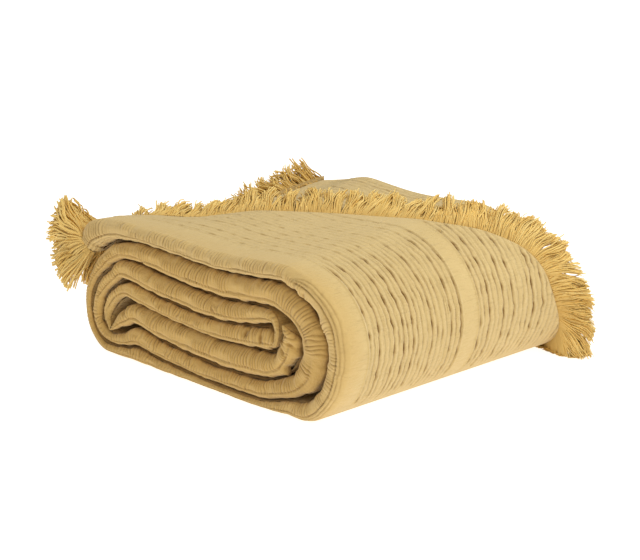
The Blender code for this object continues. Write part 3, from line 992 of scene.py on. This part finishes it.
def yarnPiece(name, node, roots, aims, lengths, droop, seed, tuft, curl, thickness=1.0):
    # one tapered tube for each root, waving with the rest of its tuft
    chance = np.random.default_rng(seed)
    count, steps, sides = len(roots), yarn["steps"], yarn["sides"]
    t = np.linspace(0, 1, steps)[None, :, None]
    aims = aims / np.linalg.norm(aims, axis=1, keepdims=True)
    sideways = np.cross(aims, np.array(yarn["notAlong"]))
    sideways = sideways / np.linalg.norm(sideways, axis=1, keepdims=True)
    upward = np.cross(sideways, aims)
    tossed = np.stack([cellNoise(tuft, seed + i) for i in (3, 4, 5, 6)])[:, :, None, None]
    phase = yarn["turn"] * tossed[:2] + chance.normal(0, yarn["phaseSpread"], (2, count))[:, :, None, None]
    waves = yarn["fewestWaves"] + yarn["tuftWaves"] * tossed[2:]
    waves = waves + chance.uniform(0, yarn["strandWaves"], (2, count))[:, :, None, None]
    sideWave = np.sin(yarn["turn"] * waves[0] * t + phase[0]) - np.sin(phase[0]) * (1 - t)
    upWave = np.sin(yarn["turn"] * waves[1] * t + phase[1])
    path = roots[:, None, :] + aims[:, None, :] * lengths[:, None, None] * t
    path = path + sideways[:, None, :] * curl * t * sideWave + upward[:, None, :] * curl * t * upWave
    path[..., 2] -= droop[:, None] * lengths[:, None] * t[..., 0] ** yarn["droopCurve"]
    path[..., 2] = np.maximum(path[..., 2], yarn["floorGap"] + yarn["floorHeap"] * chance.uniform(0, 1, (count, 1)))

    radius = yarn["radius"] + (yarn["tipRadius"] - yarn["radius"]) * t ** yarn["taper"]
    radius = radius * chance.uniform(yarn["thinnest"], yarn["thickest"], (count, 1, 1))
    radius = (radius * np.broadcast_to(thickness, count)[:, None, None])[..., None]
    turn = (2 * np.pi * np.arange(sides) / sides)[None, None, :, None]
    ring = path[:, :, None, :] + radius * np.cos(turn) * sideways[:, None, None, :]
    ring = ring + radius * np.sin(turn) * upward[:, None, None, :]
    masks = {
        "strandTint": np.repeat(chance.beta(yarn["tintSpread"], yarn["tintSpread"], count), steps * sides),
        "towardsTip": np.tile(np.repeat(np.linspace(0, 1, steps), sides), count),
    }
    piece = meshPiece(name, ring.reshape(-1, 3), tubeFaces(count, steps, sides), yarnFinish, None, masks)
    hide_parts(*node)
    return piece


def tuftsOf(values, every, seed):
    # the tuft that each strand falls in, its way to the tuft's middle, and two tosses of the tuft from -1 to 1
    uneven = tufts["uneven"] * softNoise(values / (tufts["unevenOver"] * every), 0.0, seed + 7)
    tuft = np.floor(values / every + uneven)
    centre = (tuft + 0.5 + tufts["shift"] * (cellNoise(tuft, seed) - 0.5)) * every
    return tuft, centre - values, 2 * cellNoise(tuft, seed + 1) - 1, 2 * cellNoise(tuft, seed + 2) - 1


# The fringe on the leaf's edge. A pair of lists holds places along the strip and the value at each of them.
leafFringe = {
    "length": 0.0475,
    "shortest": 0.86,
    "tuftLength": 0.97,
    "tuftLengthRange": 0.07,
    "tuft": 0.0050,
    "gather": 8.0,
    "stray": 0.075,
    "tuftLift": 0.30,
    "tuftSink": 0.06,
    "tuftDroop": 0.4,
    "droopRange": (0.85, 1.15),
    "curl": 0.0025,
    "rootOut": 0.0006,
    "lowestRoot": 0.0006,
    "highestRoot": 0.0046,
    "fan": 12,
    "slopeStep": 0.05,
}
topFringe = {
    "rows": (0.4, 8.0),
    "spacing": 0.00017,
    "halfway": 0.5,
    "lift": ((0.4, 1, 3, 5, 8), (0.70, 0.24, 0.24, 0.60, 0.50)),
    "droop": ((0.4, 8), (0.25, 0.30)),
    "sink": ((0.4, 8), (0.0, 0.0)),
    "back": ((0.4, 8), (1.0, 1.0)),
    "lengthShare": ((0.4, 8), (0.95, 1.0)),
    "sway": 0.11,
    "seed": 11,
}
sideFringe = {
    "rows": (8.0, 16.6),
    "spacing": 0.000092,
    "halfway": 0.60,
    "lift": ((8, 12, 13.5, 15, 16.6), (0.42, 0.26, 0.40, 0.65, 0.50)),
    "droop": ((8, 12, 16.6), (0.30, 0.40, 0.30)),
    "sink": ((8, 12, 13.2, 14.4, 16.6), (0.0, 0.0, 0.30, 1.0, 1.0)),
    "back": ((8, 12.4, 13.6, 14.8, 16.6), (1.0, 1.0, 0.60, -0.15, -0.55)),
    "lengthShare": ((8, 11.5, 13.5, 16.6), (1.0, 1.0, 0.90, 0.90)),
    "sway": 0.10,
    "seed": 12,
}


def strandRows(chance, own):
    # halfway says how far along the edge the first half of the strands reaches
    start, stop = (lengthAt(row) for row in own["rows"])
    count = int((stop - start) / own["spacing"])
    spread = np.interp(np.sort(chance.uniform(0, 1, count)), (0, 0.5, 1), (0, own["halfway"], 1))
    return rowAt(start + (stop - start) * spread)


def leafYarn(name, node, own):
    own = {**leafFringe, **own}
    chance = np.random.default_rng(own["seed"])
    k = strandRows(chance, own)
    count = len(k)
    heights = chance.uniform(own["lowestRoot"], own["highestRoot"], count)
    roots = place(k, leafEdge(k) + own["rootOut"], pastLeaf(k), heights)
    step = own["slopeStep"]
    ahead = place(k + step, leafEdge(k + step), 1.0) - place(k - step, leafEdge(k - step), 1.0)
    along = ahead / np.linalg.norm(ahead, axis=1, keepdims=True)
    up = inSpace(stripAt(k)[3])
    away = np.cross(up, along)
    tuft, toMiddle, leaning, lifting = tuftsOf(lengthAt(k), own["tuft"], own["seed"])
    swing = own["sway"] * leaning + chance.normal(0, own["stray"], count) + toMiddle * own["gather"]
    rise = np.interp(k, *own["lift"]) * (1 + own["tuftLift"] * lifting) + chance.normal(0, own["stray"], count)
    rise = rise + (heights - (own["lowestRoot"] + own["highestRoot"]) / 2) * own["fan"]
    aims = away * np.interp(k, *own["back"])[:, None] + along * swing[:, None] + up * rise[:, None]
    aims[:, 2] -= np.interp(k, *own["sink"]) * (1 + own["tuftSink"] * lifting)
    lengths = own["length"] * chance.uniform(own["shortest"], 1.0, count)
    lengths = lengths * (own["tuftLength"] + own["tuftLengthRange"] * leaning) * np.interp(k, *own["lengthShare"])
    fall = np.interp(k, *own["droop"]) * (1 - own["tuftDroop"] * lifting)
    fall = fall * chance.uniform(*own["droopRange"], count)
    return yarnPiece(name, node, roots, aims, lengths, fall, own["seed"], tuft, own["curl"])


topYarn = leafYarn("fringeTopYarn", ["fringe_top"], topFringe)
sideYarn = leafYarn("fringeSideYarn", ["fringe_side"], sideFringe)
print("leaf fringe built")

rimFringe = {
    "rows": (15.4, 86.6),
    "spacing": 0.0014,
    "halfway": 0.5,
    "length": 0.040,
    "lengthRange": (0.75, 1.08),
    "droop": 0.22,
    "droopRange": (0.4, 1.5),
    "rootIn": 0.003,
    "rootSpread": 0.05,
    "tuft": 0.010,
    "gather": 18,
    "sway": 0.12,
    "stray": 0.05,
    "tuftLift": 0.07,
    "liftStray": 0.04,
    "curl": 0.0030,
    "seed": 13,
}


def rimYarn(name, node, own):
    chance = np.random.default_rng(own["seed"])
    k = strandRows(chance, own)
    count = len(k)
    roots = place(k, rimAt(k) - own["rootIn"], chance.uniform(-own["rootSpread"], own["rootSpread"], count))
    _, _, heading, outward = stripAt(k)
    tuft, toMiddle, leaning, lifting = tuftsOf(lengthAt(k), own["tuft"], own["seed"])
    swing = toMiddle * own["gather"] + own["sway"] * leaning + chance.normal(0, own["stray"], count)
    rise = own["tuftLift"] * lifting + chance.normal(0, own["liftStray"], count)
    aims = np.array([[0.0, 1.0, 0.0]]) + inSpace(heading) * swing[:, None] + inSpace(outward) * rise[:, None]
    lengths = own["length"] * chance.uniform(*own["lengthRange"], count)
    fall = own["droop"] * chance.uniform(*own["droopRange"], count)
    return yarnPiece(name, node, roots, aims, lengths, fall, own["seed"], tuft, own["curl"])


rimYarns = rimYarn("fringeRimYarn", [f"fringe_rim_{i}" for i in (1, 2, 3, 4, 5)], rimFringe)

# The fringe on the strip's outer end is thickest at the near corner, where it stands out as a fan
endFringe = {
    "count": 2800,
    "length": 0.047,
    "shortest": 0.86,
    "tuftLength": 0.95,
    "tuftLengthRange": 0.06,
    "nearLonger": 0.13,
    "farShorter": 0.10,
    "places": ((0, 0.54, 0.71, 1), (0.001, 0.055, 0.200, roll["rimDepth"] - 0.004)),
    "cornerDepth": 0.060,
    "farFrom": 0.200,
    "rootShare": 0.9,
    "rootNarrow": 0.8,
    "rootOut": 0.001,
    "tilt": -0.30,
    "nearTilt": 0.26,
    "farTilt": 0.50,
    "fan": 0.22,
    "nearFan": 0.88,
    "farFan": 0.25,
    "tuft": 0.009,
    "rowHeight": 0.45,
    "rowShift": 1.7,
    "tuftLift": 0.06,
    "nearTuftLift": 0.12,
    "tiltStray": 0.05,
    "gather": 9,
    "sway": 0.20,
    "stray": 0.07,
    "nearForward": 0.20,
    "droop": 0.16,
    "tuftDroop": 0.5,
    "curl": 0.0045,
    "nearThicker": 0.5,
    "seed": 14,
}


def endYarn(name, node, own):
    count = own["count"]
    chance = np.random.default_rng(own["seed"])
    depth = np.interp(chance.uniform(0, 1, count), *own["places"])
    near = 1 - easeStep(depth / own["cornerDepth"])
    far = easeStep((depth - own["farFrom"]) / own["cornerDepth"])
    share = chance.uniform(-own["rootShare"], own["rootShare"], count)
    roots = place(0.0 * depth, depth, share * own["rootNarrow"]) - np.array([[own["rootOut"], 0, 0]])
    tilt = own["tilt"] + own["farTilt"] * far + own["nearTilt"] * near
    tilt = tilt + share * (own["fan"] + own["nearFan"] * near + own["farFan"] * far)
    row = np.floor(share / own["rowHeight"])
    tuft, toMiddle, leaning, lifting = tuftsOf(depth + own["rowShift"] * row, own["tuft"], own["seed"])
    tilt = tilt + (own["tuftLift"] + own["nearTuftLift"] * near) * lifting
    tilt = tilt + chance.normal(0, own["tiltStray"], count)
    swing = toMiddle * own["gather"] + own["sway"] * leaning + chance.normal(0, own["stray"], count)
    aims = np.stack([-np.cos(tilt), swing - own["nearForward"] * near, np.sin(tilt)], 1)
    lengths = own["length"] * chance.uniform(own["shortest"], 1.0, count)
    lengths = lengths * (own["tuftLength"] + own["tuftLengthRange"] * leaning)
    lengths = lengths * (1 + own["nearLonger"] * near - own["farShorter"] * far)
    fall = own["droop"] * (1 - own["tuftDroop"] * lifting)
    thickness = 1 + own["nearThicker"] * near
    return yarnPiece(name, node, roots, aims, lengths, fall, own["seed"], tuft, own["curl"], thickness)


endYarns = endYarn("fringeEndYarn", ["fringe_end"], endFringe)
allPieces = [blanket, topCloth, sideCloth, nearOuter, nearInner, topYarn, sideYarn, rimYarns, endYarns]
triangles = {piece.name: 2 * len(piece.data.polygons) for piece in allPieces}
print("all fringe built, triangles:", triangles, sum(triangles.values()))

# A white floor that glows a little, a warm sky and two soft lights
studio = {
    "floorSize": 80,
    "floorBelow": 0.0002,
    "floor": {
        "Base Color": (0.60, 0.60, 0.60, 1.0), "Roughness": 0.9, "Specular IOR Level": 0.1,
        "Emission Color": (1.0, 1.0, 1.0, 1.0), "Emission Strength": 0.84,
    },
    "sky": (1.0, 0.94, 0.83, 1.0),
    "skyStrength": 0.56,
    "litPoint": (0, 0, 0.08),
}
# name, place, size, power in watts, colour
lights = (
    ("overheadLight", (0.5, 0.5, 1.6), 1.4, 20.0, (0.90, 0.97, 1.0)),
    ("sideLight", (1.8, -0.5, 1.0), 1.2, 5.4, (1.0, 0.98, 0.94)),
)


def buildStudio():
    bpy.ops.mesh.primitive_plane_add(size=studio["floorSize"], location=(0, 0, -studio["floorBelow"]))
    floor = bpy.context.object
    floor.name = "paleFloor"
    made, _, shader = newMaterial("paleFloor")
    setSockets(shader, studio["floor"])
    floor.data.materials.append(made)

    world = bpy.data.worlds.new("softStudio")
    bpy.context.scene.world = world
    bpy.context.scene.view_settings.view_transform = "Standard"
    world.use_nodes = True
    background = world.node_tree.nodes["Background"]
    background.inputs[0].default_value = studio["sky"]
    background.inputs[1].default_value = studio["skyStrength"]
    for name, spot, size, power, colour in lights:
        light = bpy.data.lights.new(name, "AREA")
        light.size = size
        light.color = colour
        light.energy = power
        lamp = bpy.data.objects.new(name, light)
        lamp.location = spot
        lamp.rotation_euler = (Vector(studio["litPoint"]) - Vector(spot)).to_track_quat("-Z", "Y").to_euler()
        bpy.context.scene.collection.objects.link(lamp)


# A long lens from far off, because the photo shows hardly any perspective. Angles are degrees, the lens millimetres.
cameraView = {
    "azimuth": 46.0,
    "elevation": 20.2,
    "distance": 24.0,
    "target": (0.162, -0.150, 0.170),
    "lens": 1276.0,
    "sensor": 36,
}


def buildCamera():
    turn, tilt = math.radians(cameraView["azimuth"]), math.radians(cameraView["elevation"])
    towards = Vector((math.sin(turn) * math.cos(tilt), -math.cos(turn) * math.cos(tilt), math.sin(tilt)))
    camera = bpy.data.objects.new("camera", bpy.data.cameras.new("camera"))
    camera.data.lens = cameraView["lens"]
    camera.data.sensor_width = cameraView["sensor"]
    camera.location = Vector(cameraView["target"]) + towards * cameraView["distance"]
    camera.rotation_euler = (-towards).to_track_quat("-Z", "Y").to_euler()
    bpy.context.scene.collection.objects.link(camera)
    bpy.context.scene.camera = camera


buildStudio()
buildCamera()
print("studio and camera placed")
